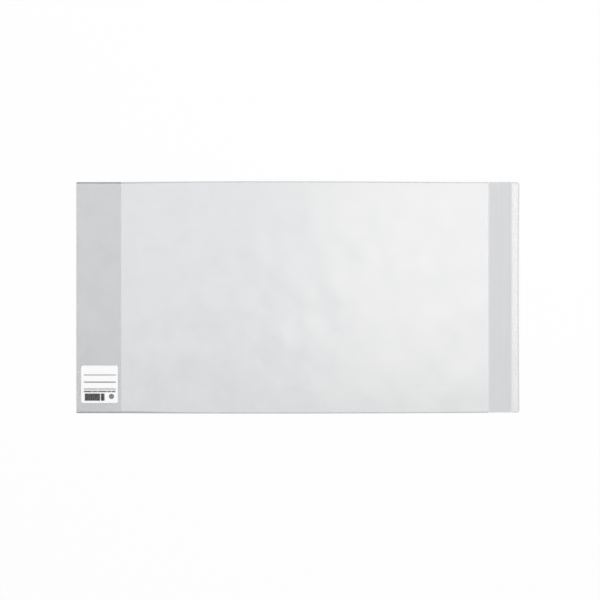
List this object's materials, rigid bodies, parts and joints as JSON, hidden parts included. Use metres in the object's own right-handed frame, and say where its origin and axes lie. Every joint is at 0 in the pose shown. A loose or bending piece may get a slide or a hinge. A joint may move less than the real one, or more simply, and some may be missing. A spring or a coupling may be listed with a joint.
{
  "type": "book jacket",
  "caption": "Clear film book jacket, open flat, with a welded pocket and name label at one end and a closing strip under a release liner at the other.",
  "frame": {"origin": "middle of the open jacket, on the surface that it lies on", "axes": "+X from the pocket's fold to the free end, +Y up the page, +Z out of the inside face, away from the table"},
  "size_m": [0.54, 0.282, 0.0007],
  "materials": {
    "film": "gloss",
    "weld": "satin",
    "adhesive": "satin",
    "liner": "satin",
    "label": "matte"
  },
  "bodies": {
    "front": {"front_panel": "film", "pocket_fold": "film", "pocket_weld_top": "weld", "pocket_weld_bottom": "weld", "front_bead_top": "weld", "front_bead_bottom": "weld"},
    "flap": {"pocket_flap": "film", "name_label": "label"},
    "spine": {"spine_panel": "film", "spine_bead_top": "weld", "spine_bead_bottom": "weld"},
    "back": {"back_panel": "film", "back_bead_top": "weld", "back_bead_bottom": "weld"},
    "tail": {"tail_panel": "film", "tail_bead_top": "weld", "tail_bead_bottom": "weld", "tail_corner_bead_top": "weld", "tail_corner_bead_bottom": "weld", "tail_end_bead": "weld", "adhesive_strip": "adhesive"},
    "liner": {"release_liner": "liner"}
  },
  "joints": [
    {"name": "pocket_gape", "type": "hinge", "parent": "front", "child": "flap", "pos_m": [-0.26974, 0, 0.00052], "axis": [0, -1, 0], "range_deg": [0, 5]},
    {"name": "front_fold", "type": "hinge", "parent": "front", "child": "spine", "pos_m": [-0.06, 0, 0.0008], "axis": [0, -1, 0], "range_deg": [0, 90]},
    {"name": "back_fold", "type": "hinge", "parent": "spine", "child": "back", "pos_m": [-0.04, 0, 0.0008], "axis": [0, -1, 0], "range_deg": [0, 90]},
    {"name": "tail_fold", "type": "hinge", "parent": "back", "child": "tail", "pos_m": [0.17, 0, 0.0016], "axis": [0, -1, 0], "range_deg": [0, 179]},
    {"name": "liner_release", "type": "slide", "parent": "tail", "child": "liner", "axis": [0, -1, 0], "range_m": [0, 0.28]}
  ]
}
